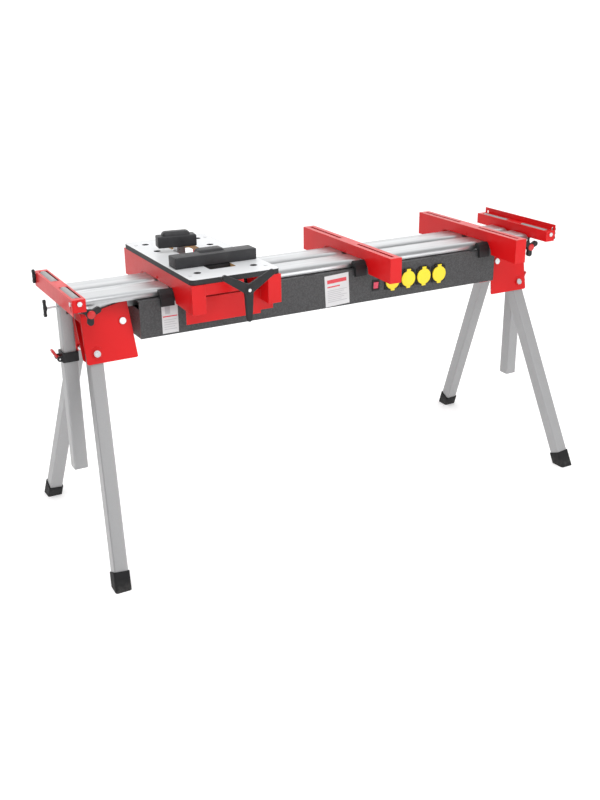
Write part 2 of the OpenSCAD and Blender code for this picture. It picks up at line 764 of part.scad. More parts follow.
// side plate of a mount: it lies over the beam and its ends hang down
module mount_outline(up) {
    z1 = beam_z + up;
    y1 = mount_l / 2;
    cy = recess_y - recess_r;
    cz = recess_z - recess_r;
    polygon(concat([[y1, mount_z0], [y1, z1], [-y1, z1], [-y1, mount_z0]],
        [for (a = [180:-15:90]) [-cy + recess_r * cos(a), max(cz + recess_r * sin(a), mount_z0)]],
        [for (a = [90:-15:0]) [cy + recess_r * cos(a), max(cz + recess_r * sin(a), mount_z0)]]));
    // ear for the lever's pin
    translate([cam_y, cam_z]) circle(8);
    translate([cam_y - 8, cam_z]) square([16, recess_z - cam_z + 4]);
}

// folded channel open at the bottom, centred on X = 0
module mount_channel(up) {
    y1 = mount_l / 2;
    z1 = beam_z + up;
    difference() {
        translate([-mount_w / 2, 0, 0]) rotate([90, 0, 90]) linear_extrude(mount_w) mount_outline(up);
        box([-mount_w / 2 + thin, -y1 + thin, mount_z0 - 1], [mount_w / 2 - thin, y1 - thin, z1 - thin]);
        translate([-mount_w / 2 - 1, cam_y, cam_z]) rod_x(cam_pin_r + pin_gap, mount_w + 2);
    }
    // rivet heads of the glide pads
    for (k = [-1, 1]) translate([k > 0 ? mount_w / 2 - eps : -mount_w / 2 - 1.5 + eps, -8, beam_z + 7]) rod_x(3.5, 1.5);
    // webs that bear on the beam's crown
    for (y = [-62, 62]) box([-mount_w / 2 + thin - eps, y - 1, recess_z], [mount_w / 2 - thin + eps, y + 1, z1 - thin + eps]);
}

module mount_slots(up) {
    z = beam_z + up - thin - 1;
    for (k = [-1, 1]) translate([0, mount_slot_y0 + k * mount_slot_y, z]) linear_extrude(thin + 2)
        slot_2d(mount_slot_l, slot_w);
}

module machine_mount(x) {
    color([0.82, 0.05, 0.06]) translate([x, 0, 0]) difference() {
        mount_channel(mount_up);
        mount_slots(mount_up);
    }
}

// cam inside a mount, and its broad lever beside the mount on the same pin
module cam_lever() {
    w = mount_w - 2 * thin - 1;
    outer = -mount_w / 2 - slide_gap;
    color([0.06, 0.06, 0.07]) translate([0, cam_y, cam_z]) {
        translate([outer - cam_blade_w, 0, 0]) rod_x(cam_pin_r, mount_w / 2 + 2 - outer + cam_blade_w);
        translate([-w / 2, 0, 0]) {
            rod_x(7, w);
            rotate([90, 0, 90]) linear_extrude(w)
                polygon([[-7, 1], [0, 7], [8, 6], [14.4, 3], [14.4, -3], [6, -7], [-4, -6]]);
        }
        translate([outer - cam_blade_w, 0, 0]) rotate([90, 0, 90]) linear_extrude(cam_blade_w)
            polygon([[10, 3], [6, 9], [-2, 10.5], [-9, 6], [-14, -2], [-16, -14], [-17.5, -33], [-15, -34], [-9, -34],
                [-7, -15], [-1, -9], [6, -8]]);
    }
}

module mount_lever(x) {
    translate([x, 0, 0]) cam_lever();
}

// ---------- vise table ----------

module vise_frame() {
    color([0.82, 0.05, 0.06]) {
        for (x = [vise_x1, vise_x2]) translate([x, 0, 0]) mount_channel(vise_up - 0.05);
        // cross panel, its lower edge stepped near the right end
        translate([0, panel_y, 0]) rotate([90, 0, 0]) translate([0, 0, -thin]) linear_extrude(thin)
            polygon([[vise_x1 - mount_w / 2 + 1, mount_z0 - 37], [vise_x2 - mount_w / 2, mount_z0 - 37],
                [vise_x2 - mount_w / 2, mount_z0 - 28], [vise_x2 + mount_w / 2 - 1, mount_z0 - 28],
                [vise_x2 + mount_w / 2 - 1, mount_z0 + thin], [vise_x2 - mount_w / 2 + thin / 2, mount_z0 + thin],
                [vise_x2 - mount_w / 2 + thin / 2, mount_z0 + 30], [vise_x1 + mount_w / 2 - thin / 2, mount_z0 + 30],
                [vise_x1 + mount_w / 2 - thin / 2, mount_z0 + thin], [vise_x1 - mount_w / 2 + 1, mount_z0 + thin]]);
        box([vise_x1 + mount_w / 2 - eps, panel_y, mount_z0 + 28], [vise_x2 - mount_w / 2 + eps, panel_y + 16, mount_z0 + 30]);
    }
    // guide block of the screw under the front edge
    color([0.07, 0.07, 0.08]) difference() {
        box([vise_x1 + mount_w / 2 - eps, -mount_l / 2 + 2, screw_z - 19], [table_x + 20, -mount_l / 2 + 26, table_z0 - 0.1]);
        translate([table_x, -mount_l / 2, screw_z]) rod_y(screw_r + pin_gap, 60);
    }
}

module vise_top() {
    x0 = table_x - table_w / 2;
    x1 = table_x + table_w / 2;
    y = table_l / 2;
    color([0.90, 0.91, 0.92]) difference() {
        translate([0, 0, table_z0]) linear_extrude(table_t) round_rect([x0, -y], [x1, y], 14);
        translate([table_x, slot_y0 + jaw_slot_l / 2, table_z0 - 1]) linear_extrude(table_t + 2)
            round_rect([-jaw_slot_w / 2, -jaw_slot_l / 2], [jaw_slot_w / 2, jaw_slot_l / 2], 6);
        for (i = [-1, 1], y = dog_y) translate([table_x + i * dog_x, y, table_z0 - 1])
            cylinder(r = dog_r, h = table_t + 2);
    }
    color([0.5, 0.5, 0.5]) for (i = [-1, 1], j = [-1, 1])
        translate([table_x + i * (table_w - mount_w) / 2, j * 198, table_z1 - 0.05]) cylinder(r = 5, h = 0.6);
}

dog_x = (table_w - 92) / 2;
dog_y = [table_l / 2 - 53, table_l / 2 - 146, -table_l / 2 + 66];

module vise_levers() {
    for (x = [vise_x1, vise_x2]) translate([x, 0, 0]) cam_lever();
}

// broad bar with sloped ends, and a rounded pad on its inner side
module front_jaw() {
    l = table_w - 4;
    w = front_jaw_w;
    color([0.10, 0.10, 0.11]) translate([table_x, front_jaw_y, table_z1 + 0.4]) difference() {
        union() {
            translate([0, w / 2, 0]) rotate([90, 0, 0]) linear_extrude(w)
                polygon([[-l / 2, 0], [l / 2, 0], [l / 2, 4], [l / 2 - 7, jaw_h], [-l / 2 + 7, jaw_h], [-l / 2, 4]]);
            translate([0, w / 2 - eps, 6]) linear_extrude(jaw_h) round_rect([-40, -20], [40, 19], 12);
        }
        translate([0, 0, -1]) cylinder(r = jaw_pin_r + pin_gap, h = jaw_pin_l + 2);
    }
}

// carriage that runs in the slot and along the screw, with the jaw's swivel pin
module jaw_carriage() {
    cheek = jaw_slot_w / 2 - 1;
    color([0.13, 0.13, 0.14]) translate([table_x, front_jaw_y, table_z1]) difference() {
        union() {
            box([-cheek, -28, -table_t - 28], [cheek, 28, 0]);
            translate([0, 0, -eps]) cylinder(r = jaw_pin_r, h = jaw_pin_l);
        }
        translate([0, -40, screw_z - table_z1]) rod_y(screw_r + pin_gap, 80);
    }
}

module rear_jaw_stem() {
    color([0.70, 0.71, 0.72]) translate([rear_jaw_x, rear_jaw_y, 0]) {
        box([-12, -15, table_z0 - 22], [12, 15, table_z1 + 14]);
        translate([0, 0, table_z1 + 14 - eps]) cylinder(r = 6, h = 16);
    }
}

module rear_jaw() {
    w = 110;
    color([0.08, 0.08, 0.09]) translate([rear_jaw_x - rear_jaw_in, rear_jaw_y, table_z1 + 14.4]) difference() {
        rotate(jaw_turn) {
            linear_extrude(36) round_rect([-w / 2, -20], [w / 2, 20], 8);
            translate([0, 0, 36 - eps]) linear_extrude(8) round_rect([-w / 2 + 16, -18], [w / 2 - 14, 18], 12);
        }
        translate([rear_jaw_in, 0, -1]) cylinder(r = 6 + pin_gap, h = 18);
    }
}

module vise_screw() {
    color([0.60, 0.60, 0.62]) translate([table_x, screw_y0, screw_z]) {
        rod_y(screw_r, 342);
        translate([0, 12, 0]) rod_y(screw_r + 4, 46);
    }
}

module crank_handle() {
    color([0.07, 0.07, 0.08]) translate([table_x, screw_y0 - 12, screw_z]) difference() {
        union() {
            rod_y(15, 23.6);
            rotate([-90, 0, 0]) translate([0, 0, 4]) tapered_arms(76, 13.5, 8.5, 9, -29.5);
        }
        translate([0, 12 - 0.05, 0]) rod_y(screw_r + 0.05, 30);
    }
}

// ---------- nodes ----------

beam();
arm_guides();
tray();
bracket(-1);  // bracket_left
bracket(1);  // bracket_right
frame_fasteners();
switch_frame();
switch_rocker();
socket_flanges();
power_inlet();
socket_lid(0);  // socket_lid_1
socket_lid(1);  // socket_lid_2
socket_lid(2);  // socket_lid_3
socket_lid(3);  // socket_lid_4
leg(-1, 1);  // leg_front_left
leg(-1, -1);  // leg_back_left
leg(1, 1);  // leg_front_right
leg(1, -1);  // leg_back_right
foot(-1, 1);  // foot_front_left
foot(-1, -1);  // foot_back_left
foot(1, 1);  // foot_front_right
foot(1, -1);  // foot_back_right
arm_tubes(-1);  // arm_tubes_left
roller_channel(-1);  // roller_channel_left
channel_axle(-1);  // channel_axle_left
rollers(-1);  // rollers_left
stop_plate(-1);  // stop_plate_left
stop_knob(-1);  // stop_knob_left
drop_leg_upper(-1);  // drop_leg_upper_left
drop_leg_lower(-1);  // drop_leg_lower_left
drop_collar(-1);  // drop_collar_left
drop_lever(-1);  // drop_lever_left
drop_knob(-1);  // drop_knob_left
arm_lock(-1);  // arm_lock_left
arm_tubes(1);  // arm_tubes_right
roller_channel(1);  // roller_channel_right
channel_axle(1);  // channel_axle_right
rollers(1);  // rollers_right
stop_plate(1);  // stop_plate_right
stop_knob(1);  // stop_knob_right
drop_leg_upper(1);  // drop_leg_upper_right
drop_leg_lower(1);  // drop_leg_lower_right
drop_collar(1);  // drop_collar_right
drop_lever(1);  // drop_lever_right
drop_knob(1);  // drop_knob_right
arm_lock(1);  // arm_lock_right
machine_mount(mount_x1);  // machine_mount_1
mount_lever(mount_x1);  // mount_lever_1
machine_mount(mount_x2);  // machine_mount_2
mount_lever(mount_x2);  // mount_lever_2
vise_frame();
vise_top();
vise_levers();
jaw_carriage();
front_jaw();
rear_jaw_stem();
rear_jaw();
vise_screw();
crank_handle();
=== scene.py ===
"""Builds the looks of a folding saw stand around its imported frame.

It gives the frame its finishes, and adds handles, knobs, jaws, rollers, lids and labels.
"""

import json
import math

import bpy
from mathutils import Matrix, Vector

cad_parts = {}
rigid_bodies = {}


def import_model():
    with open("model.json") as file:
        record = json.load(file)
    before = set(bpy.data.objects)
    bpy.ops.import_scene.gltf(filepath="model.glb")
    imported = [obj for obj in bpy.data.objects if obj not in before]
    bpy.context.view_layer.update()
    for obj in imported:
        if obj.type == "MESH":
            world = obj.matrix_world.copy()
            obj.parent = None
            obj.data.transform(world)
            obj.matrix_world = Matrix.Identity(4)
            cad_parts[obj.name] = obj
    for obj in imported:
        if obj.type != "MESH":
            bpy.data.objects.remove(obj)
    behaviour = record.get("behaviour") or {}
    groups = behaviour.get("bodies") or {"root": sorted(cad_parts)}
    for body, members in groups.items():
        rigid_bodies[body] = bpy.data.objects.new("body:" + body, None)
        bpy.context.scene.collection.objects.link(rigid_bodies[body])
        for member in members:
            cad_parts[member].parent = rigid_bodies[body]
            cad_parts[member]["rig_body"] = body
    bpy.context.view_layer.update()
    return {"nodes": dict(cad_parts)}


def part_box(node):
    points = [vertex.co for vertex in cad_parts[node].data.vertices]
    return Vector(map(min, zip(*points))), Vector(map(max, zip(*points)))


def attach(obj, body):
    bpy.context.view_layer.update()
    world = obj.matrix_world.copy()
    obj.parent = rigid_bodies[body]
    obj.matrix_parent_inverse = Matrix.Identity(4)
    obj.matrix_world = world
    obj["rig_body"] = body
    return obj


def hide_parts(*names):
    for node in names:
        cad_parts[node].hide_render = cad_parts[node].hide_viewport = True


bl_info = {
    "name": "Saw Stand",
    "version": (1, 0, 0),
    "blender": (4, 5, 0),
    "location": "View3D > Sidebar > Saw Stand",
    "description": "Finishes, handles and small parts of a folding saw stand",
    "category": "Add Mesh",
}

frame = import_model()
nodes = frame["nodes"]
OUTWARD = {"left": -1, "right": 1}

ARM_LOCK_X = 0.719
ARM_LOCK_Z = 0.690
LEVER_PIVOT_X = 0.784
LEVER_LEAN = math.radians(30)
LID_CENTRE = 0.0285  # above the lid's lower edge
THREAD_PITCH = 0.00125
STUD_PITCH = 0.001
ROLLER_LENGTH = 0.116
BACKDROP_PLACE = (5.0, 9.2, 6)
CAMERA_PLACE = (-1.4357, -2.5460, 1.4319)
CAMERA_YAW, CAMERA_PITCH, CAMERA_ROLL = (math.radians(a) for a in (28.6, -21.7, -0.6))
CAMERA_LENS = 45.5265
CAMERA_SENSOR = 36


# ---------- settings ----------


def colour_property(name, text, rgb):
    return bpy.props.FloatVectorProperty(
        name=name, description=text, default=rgb, size=3, subtype="COLOR", min=0, max=1)


def size_property(name, text, value):
    return bpy.props.FloatProperty(
        name=name, description=text, default=value, min=0, unit="LENGTH", precision=4)


def strength_property(name, text, value):
    return bpy.props.FloatProperty(name=name, description=text, default=value)


class StandColours(bpy.types.PropertyGroup):
    """Colours of the stand's finishes"""

    red: colour_property("Red paint", "Powder coat of the brackets and mounts", (0.66, 0.004, 0.006))
    aluminium: colour_property("Aluminium", "Bare metal of the beam", (0.50, 0.51, 0.52))
    tray: colour_property("Tray", "Hammered paint of the tray", (0.048, 0.048, 0.050))
    tube: colour_property("Tubes", "Silver paint of the legs", (0.34, 0.34, 0.345))
    zinc: colour_property("Zinc", "Plated bolts and screws", (0.62, 0.62, 0.63))
    black: colour_property("Black plastic", "Handles, knobs and jaws", (0.010, 0.010, 0.011))
    yellow: colour_property("Lids", "Socket lids", (0.90, 0.70, 0.008))
    rocker: colour_property("Rocker", "Lit rocker of the switch", (0.55, 0.002, 0.05))
    laminate: colour_property("Laminate", "Top face of the vise table", (0.66, 0.67, 0.685))
    board: colour_property("Board", "Board inside the vise table", (0.50, 0.31, 0.14))
    roller: colour_property("Rollers", "Plastic of the rollers", (0.30, 0.30, 0.30))
    label: colour_property("Labels", "White of the label plates", (0.60, 0.60, 0.61))


class StandSizes(bpy.types.PropertyGroup):
    """Sizes of the pieces that are modelled here"""

    big_label_width: size_property("Big label width", "Width of the plate in the middle", 0.080)
    big_label_height: size_property("Big label height", "Height of the plate in the middle", 0.092)
    small_label_width: size_property("Small label width", "Width of the plate beside the bracket", 0.046)
    small_label_height: size_property("Small label height", "Height of the plate beside the bracket", 0.086)


class StageSettings(bpy.types.PropertyGroup):
    """Light and floor"""

    key: strength_property("Key light", "Power of the large light", 55)
    fill: strength_property("Fill light", "Power of the front light", 34)
    sky: strength_property("Sky", "Strength of the surrounding light", 0.55)
    floor_glow: strength_property("Floor glow", "White light that the floor gives off", 0.32)
    floor: colour_property("Floor", "Colour of the floor", (0.90, 0.90, 0.90))


# ---------- shader maths ----------


class Value:
    """A number or vector in a material, which Python's operators turn into Math nodes."""

    def __init__(self, shader, socket):
        self.shader = shader
        self.socket = socket

    def maths(self, operation, *inputs):
        return self.shader.add("ShaderNodeMath", {"operation": operation}, dict(enumerate(inputs)))

    def __add__(self, other):
        return self.maths("ADD", self, other)

    __radd__ = __add__

    def __sub__(self, other):
        return self.maths("SUBTRACT", self, other)

    def __rsub__(self, other):
        return self.maths("SUBTRACT", other, self)

    def __mul__(self, other):
        return self.maths("MULTIPLY", self, other)

    __rmul__ = __mul__

    def __gt__(self, other):
        return self.maths("GREATER_THAN", self, other)

    def __lt__(self, other):
        return self.maths("LESS_THAN", self, other)

    def __abs__(self):
        return self.maths("ABSOLUTE", self)


class Finish:
    """A material with one Principled shader, and short ways to add nodes to it."""

    def __init__(self, name, **settings):
        self.material = bpy.data.materials.new(name)
        self.material.use_nodes = True
        self.tree = self.material.node_tree
        self.tree.nodes.clear()
        self.output = self.tree.nodes.new("ShaderNodeOutputMaterial")
        self.shader = self.tree.nodes.new("ShaderNodeBsdfPrincipled")
        self.tree.links.new(self.shader.outputs[0], self.output.inputs[0])
        for socket, value in settings.items():
            self.put(self.shader.inputs[socket.replace("_", " ")], value)

    def put(self, socket, value):
        if isinstance(value, Value):
            self.tree.links.new(value.socket, socket)
        elif getattr(socket, "type", "") == "RGBA" and len(value) == 3:
            socket.default_value = (*value, 1)
        else:
            socket.default_value = value

    def add(self, kind, settings=None, inputs=None, output=0):
        node = self.tree.nodes.new(kind)
        for key, value in (settings or {}).items():
            setattr(node, key, value)
        for key, value in (inputs or {}).items():
            self.put(node.inputs[key], value)
        return Value(self, node.outputs[output])

    def set(self, **links):
        for socket, value in links.items():
            self.put(self.shader.inputs[socket.replace("_", " ")], value)

    def place(self):
        return self.add("ShaderNodeTexCoord", output="Object")

    def axes(self, vector=None):
        vector = vector or self.place()
        return [self.add("ShaderNodeSeparateXYZ", inputs={0: vector}, output=i) for i in range(3)]

    def facing(self):
        """Components of the surface's normal."""
        return self.axes(self.add("ShaderNodeNewGeometry", output="Normal"))

    def noise(self, scale, detail=2, stretch=(1, 1, 1), rough=0.5):
        place = self.place()
        if tuple(stretch) != (1, 1, 1):
            place = self.add("ShaderNodeMapping", inputs={"Vector": place, "Scale": stretch})
        inputs = {"Vector": place, "Scale": scale, "Detail": detail, "Roughness": rough}
        return self.add("ShaderNodeTexNoise", inputs=inputs)

    def cells(self, scale):
        inputs = {"Vector": self.place(), "Scale": scale}
        return self.add("ShaderNodeTexVoronoi", {"feature": "SMOOTH_F1"}, inputs)

    def ramp(self, value, low, high):
        return self.add("ShaderNodeMapRange", {"clamp": True}, {0: value, 1: low, 2: high, 3: 0.0, 4: 1.0})

    def blend(self, mask, first, second):
        inputs = {0: mask, 6: self.full(first), 7: self.full(second)}
        return self.add("ShaderNodeMix", {"data_type": "RGBA"}, inputs, output=2)

    @staticmethod
    def full(value):
        return value if isinstance(value, Value) else (*value[:3], 1)

    def round_edges(self, radius):
        return self.add("ShaderNodeBevel", {"samples": 4}, {"Radius": radius})

    def edges(self, rounded):
        """Mask of the sharp edges, where the rounded normal leaves the true one."""
        true = self.add("ShaderNodeNewGeometry", output="Normal")
        settings = {"operation": "DOT_PRODUCT"}
        dot = self.add("ShaderNodeVectorMath", settings, {0: rounded, 1: true}, output="Value")
        return self.ramp(1 - dot, 0.01, 0.18)

    def bump(self, height, distance, strength=1.0, normal=None):
        inputs = {"Height": height, "Distance": distance, "Strength": strength}
        if normal:
            inputs["Normal"] = normal
        self.set(Normal=self.add("ShaderNodeBump", inputs=inputs))


def shade(rgb, factor):
    return tuple(min(1.0, c * factor) for c in rgb)


def red_paint(colours):
    f = Finish("red powder coat", Specular_IOR_Level=0.25, Coat_Weight=0.06, Coat_Roughness=0.15)
    rounded = f.round_edges(0.0012)
    cloud = f.noise(7, 3)
    base = f.blend(f.ramp(cloud, 0.3, 0.7), shade(colours.red, 0.90), colours.red)
    # Painted edge highlight: sharp edges, made patchy with noise, are blended towards a lighter, pinker
    # red.
    painted_edge_highlight = f.edges(rounded) * f.ramp(f.noise(90, 4), 0.42, 0.62)
    f.set(Base_Color=f.blend(painted_edge_highlight * 0.55, base, (0.90, 0.16, 0.14)), Roughness=0.30 + 0.10 * f.noise(60, 2))
    f.bump(f.noise(620, 2), 0.00018, 0.6, rounded)
    return f.material


def aluminium(colours):
    f = Finish("extruded aluminium", Metallic=0.92)
    rounded = f.round_edges(0.0008)
    lines = f.noise(420, 3, (0.012, 1, 1))
    bands = f.noise(60, 2, (0.02, 1, 1))
    scuffs = f.ramp(f.noise(30, 6, (0.3, 1, 1), 0.7), 0.60, 0.75)
    base = f.blend(f.ramp(bands, 0.3, 0.7), shade(colours.aluminium, 0.84), shade(colours.aluminium, 1.12))
    f.set(Base_Color=f.blend(scuffs * 0.25, base, shade(colours.aluminium, 0.72)))
    f.set(Roughness=0.27 + 0.13 * lines + 0.10 * scuffs)
    f.bump(lines, 0.00006, 0.7, rounded)
    return f.material


def hammered(colours):
    f = Finish("dark hammered paint", Specular_IOR_Level=0.35)
    rounded = f.round_edges(0.0012)
    dimples = f.cells(230)
    fine = f.noise(900, 2)
    speck = f.ramp(f.noise(1500, 1), 0.60, 0.72)
    base = f.blend(f.ramp(dimples, 0.1, 0.6), shade(colours.tray, 1.25), shade(colours.tray, 0.78))
    f.set(Base_Color=f.blend(speck * 0.35, base, shade(colours.tray, 3.2)), Roughness=0.36 + 0.16 * dimples)
    f.bump(dimples + 0.25 * fine, 0.0009, 0.55, rounded)
    return f.material


def silver_paint(colours):
    f = Finish("silver tube paint", Metallic=0.35, Coat_Weight=0.15, Coat_Roughness=0.25)
    rounded = f.round_edges(0.0012)
    flakes = f.noise(1700, 1)
    cloud = f.noise(9, 3)
    base = f.blend(f.ramp(flakes, 0.35, 0.65), shade(colours.tube, 0.93), shade(colours.tube, 1.05))
    scuff = f.ramp(f.noise(55, 6, (1, 1, 0.35), 0.72), 0.64, 0.76)
    f.set(Base_Color=f.blend(scuff * 0.22, base, shade(colours.tube, 0.62)))
    f.set(Roughness=0.34 + 0.12 * cloud + 0.12 * scuff)
    f.bump(flakes, 0.00008, 0.5, rounded)
    return f.material


def zinc(colours):
    f = Finish("bright zinc plate", Metallic=1.0)
    rounded = f.round_edges(0.0006)
    patches = f.cells(160)
    base = f.blend(f.ramp(patches, 0.1, 0.7), colours.zinc, shade(colours.zinc, 1.22))
    f.set(Base_Color=base, Roughness=0.22 + 0.16 * f.noise(240, 3))
    f.bump(f.noise(700, 2), 0.00005, 0.5, rounded)
    return f.material


def black_plastic(colours, name="black moulded plastic", gain=1.0, radius=0.0012):
    f = Finish(name, Specular_IOR_Level=0.32)
    rounded = f.round_edges(radius)
    grain = f.cells(1300)
    cloud = f.noise(35, 3)
    # Painted edge highlight: sharp edges, made patchy with noise, are blended towards a lighter grey.
    painted_edge_sheen = f.edges(rounded) * f.ramp(f.noise(70, 4), 0.4, 0.65)
    base = f.blend(f.ramp(cloud, 0.3, 0.7), shade(colours.black, gain), shade(colours.black, 1.5 * gain))
    f.set(Base_Color=f.blend(painted_edge_sheen * 0.5, base, shade(colours.black, 5.0)))
    f.set(Roughness=0.42 + 0.14 * f.noise(120, 3))
    f.bump(grain, 0.00025, 0.5, rounded)
    return f.material


def rubber(colours):
    f = Finish("foot rubber", Specular_IOR_Level=0.3)
    rounded = f.round_edges(0.003)
    dust = f.ramp(f.axes()[2], 0.03, 0.0) * f.ramp(f.noise(80, 4), 0.35, 0.7)
    f.set(Base_Color=f.blend(dust * 0.30, shade(colours.black, 0.9), (0.16, 0.155, 0.145)))
    f.set(Roughness=0.62 + 0.2 * f.noise(90, 3))
    f.bump(f.noise(800, 3), 0.0003, 0.5, rounded)
    return f.material


def yellow_plastic(colours):
    f = Finish("yellow lid plastic", Coat_Weight=0.2, Coat_Roughness=0.2)
    rounded = f.round_edges(0.0008)
    base = f.blend(f.ramp(f.noise(22, 3), 0.3, 0.7), shade(colours.yellow, 0.93), colours.yellow)
    f.set(Base_Color=base, Roughness=0.34 + 0.10 * f.noise(200, 2))
    f.bump(f.noise(1500, 2), 0.00008, 0.5, rounded)
    return f.material


def rocker_plastic(colours):
    f = Finish("lit rocker plastic", Coat_Weight=0.8, Coat_Roughness=0.08, Roughness=0.2)
    glow = f.ramp(f.noise(160, 2), 0.2, 0.8)
    f.set(Base_Color=f.blend(glow, shade(colours.rocker, 0.85), colours.rocker))
    f.set(Emission_Color=f.blend(glow, shade(colours.rocker, 0.5), colours.rocker), Emission_Strength=0.28)
    f.bump(f.noise(900, 1), 0.00004, 0.4, f.round_edges(0.0012))
    return f.material


def laminate(colours):
    """White face, dark edge band round the outside, and bare board inside the slot and the holes."""
    f = Finish("laminated board", Specular_IOR_Level=0.45)
    low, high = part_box("vise_top")
    middle = (low + high) / 2
    half = (high - low) / 2
    x, y, z = f.axes()
    rounded = f.round_edges(0.0008)
    upward = abs(f.facing()[2]) > 0.5
    inside = (abs(x - middle.x) < half.x - 0.016) * (abs(y - middle.y) < half.y - 0.016)
    fibres = f.noise(700, 4, (1, 1, 0.5))
    board = f.blend(f.ramp(fibres, 0.3, 0.7), shade(colours.board, 0.8), shade(colours.board, 1.2))
    slot = inside * (abs(x - middle.x) < 0.046)
    side = f.blend(slot, shade(colours.black, 1.6), board)
    face = f.blend(f.ramp(f.noise(14, 4), 0.3, 0.7), shade(colours.laminate, 0.97), colours.laminate)
    scratch = f.ramp(f.noise(40, 5, (1, 0.06, 1), 0.7), 0.66, 0.74)
    face = f.blend(scratch * 0.12, face, shade(colours.laminate, 0.7))
    f.set(Base_Color=f.blend(upward, side, face), Roughness=0.55 - 0.25 * upward + 0.06 * fibres)
    f.bump(fibres, 0.0003, 0.25, rounded)
    return f.material


def roller_plastic(colours):
    f = Finish("roller plastic")
    turned = f.noise(500, 2, (1, 0.05, 1))
    grime = f.ramp(f.noise(45, 5), 0.5, 0.75)
    base = f.blend(grime * 0.3, colours.roller, shade(colours.roller, 0.6))
    f.set(Base_Color=base, Roughness=0.38 + 0.12 * turned)
    f.bump(turned, 0.0001, 0.5, f.round_edges(0.001))
    return f.material


def label_sheet(colours, name, rgb):
    f = Finish(name, Coat_Weight=0.35, Coat_Roughness=0.15)
    f.set(Base_Color=f.blend(f.ramp(f.noise(50, 3), 0.3, 0.7), shade(rgb, 0.96), rgb))
    f.set(Roughness=0.32 + 0.1 * f.noise(260, 2))
    f.bump(f.noise(240, 2), 0.00006, 0.3)
    return f.material


def red_plastic(colours):
    f = Finish("red moulded plastic", Coat_Weight=0.25, Coat_Roughness=0.2)
    base = f.blend(f.ramp(f.noise(60, 3), 0.3, 0.7), shade(colours.red, 0.72), shade(colours.red, 0.92))
    f.set(Base_Color=base, Roughness=0.36 + 0.1 * f.noise(150, 2))
    f.bump(f.noise(1100, 2), 0.00012, 0.5, f.round_edges(0.001))
    return f.material


MATERIALS = {}


def finish(name):
    """The finish of that name, made the first time it is asked for."""
    if name not in MATERIALS:
        colours = bpy.context.scene.stand_colours
        makers = {
            "red": red_paint,
            "aluminium": aluminium,
            "hammered": hammered,
            "silver": silver_paint,
            "zinc": zinc,
            "black": black_plastic,
            "jaw": lambda c: black_plastic(c, "dark jaw plastic", 2.2, 0.0015),
            "rubber": rubber,
            "yellow": yellow_plastic,
            "rocker": rocker_plastic,
            "laminate": laminate,
            "roller": roller_plastic,
            "red plastic": red_plastic,
            "label": lambda c: label_sheet(c, "white label", c.label),
            "label red": lambda c: label_sheet(c, "red print", (0.62, 0.02, 0.04)),
            "label grey": lambda c: label_sheet(c, "grey print", (0.42, 0.42, 0.44)),
        }
        MATERIALS[name] = makers[name](colours)
    return MATERIALS[name]


def coat(piece, name):
    piece.data.materials.clear()
    piece.data.materials.append(finish(name))


# ---------- modelling helpers ----------


def deselect():
    if bpy.context.object and bpy.context.object.mode != "OBJECT":
        bpy.ops.object.mode_set(mode="OBJECT")
    bpy.ops.object.select_all(action="DESELECT")


def select(*pieces):
    deselect()
    for piece in pieces:
        piece.select_set(True)
    bpy.context.view_layer.objects.active = pieces[0]


def apply_place(piece):
    select(piece)
    bpy.ops.object.transform_apply(location=True, rotation=True, scale=True)
    return piece


def use_modifier(piece, kind, **settings):
    select(piece)
    modifier = piece.modifiers.new(kind.lower(), kind)
    for key, value in settings.items():
        setattr(modifier, key, value)
    bpy.ops.object.modifier_apply(modifier=modifier.name)
    return piece


def block(name, low, high, bevel=0.001, segments=2):
    """Box with rounded edges between two corners."""
    low, high = Vector(low), Vector(high)
    deselect()
    bpy.ops.mesh.primitive_cube_add(size=1, location=(low + high) / 2)
    piece = bpy.context.object
    piece.name = name
    piece.scale = high - low
    apply_place(piece)
    if bevel:
        use_modifier(piece, "BEVEL", width=bevel, segments=segments, limit_method="ANGLE")
    return piece


def turned(name, start, axis, profile, vertices=32, angle=35):
    """Turned piece: a disc at start is extruded along axis through (distance, radius) pairs, and closed."""
    deselect()
    bpy.ops.mesh.primitive_circle_add(vertices=vertices, radius=profile[0][1], fill_type="NGON")
    piece = bpy.context.object
    piece.name = name
    bpy.ops.object.mode_set(mode="EDIT")
    bpy.ops.mesh.select_all(action="SELECT")
    for (before, old), (after, new) in zip(profile, profile[1:]):
        move = {"value": (0, 0, after - before)}
        bpy.ops.mesh.extrude_region_move(TRANSFORM_OT_translate=move)
        bpy.ops.transform.resize(value=(new / old, new / old, 1))
    bpy.ops.mesh.select_all(action="SELECT")
    bpy.ops.mesh.normals_make_consistent(inside=False)
    bpy.ops.object.mode_set(mode="OBJECT")
    turn = Vector((0, 0, 1)).rotation_difference(Vector(axis)).to_matrix().to_4x4()
    piece.matrix_world = Matrix.Translation(Vector(start) + Vector(axis) * profile[0][0]) @ turn
    apply_place(piece)
    bpy.ops.object.shade_smooth_by_angle(angle=math.radians(angle))
    return piece


def join(name, *pieces):
    select(*pieces)
    if len(pieces) > 1:
        bpy.ops.object.join()
    piece = bpy.context.object
    piece.name = name
    return piece


def melt(piece, voxel, rounds=4, factor=0.5):
    """Joins overlapping solids into one moulded skin with soft inner corners."""
    use_modifier(piece, "REMESH", mode="VOXEL", voxel_size=voxel)
    use_modifier(piece, "SMOOTH", factor=factor, iterations=rounds)
    select(piece)
    bpy.ops.object.shade_smooth()
    return piece


def copy_of(piece, name, shift=(0, 0, 0)):
    twin = piece.copy()
    twin.data = piece.data.copy()
    twin.name = name
    bpy.context.scene.collection.objects.link(twin)
    twin.location = Vector(twin.location) + Vector(shift)
    return apply_place(twin)


def middle_of(node):
    low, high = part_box(node)
    return (low + high) / 2


def body_of(node):
    return nodes[node]["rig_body"]


def wear(piece, coating, body, slot, *replaced):
    """Finishes a new piece and fixes it to its body."""
    coat(piece, coating)
    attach(piece, body)
    if replaced:
        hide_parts(*replaced)
    return piece


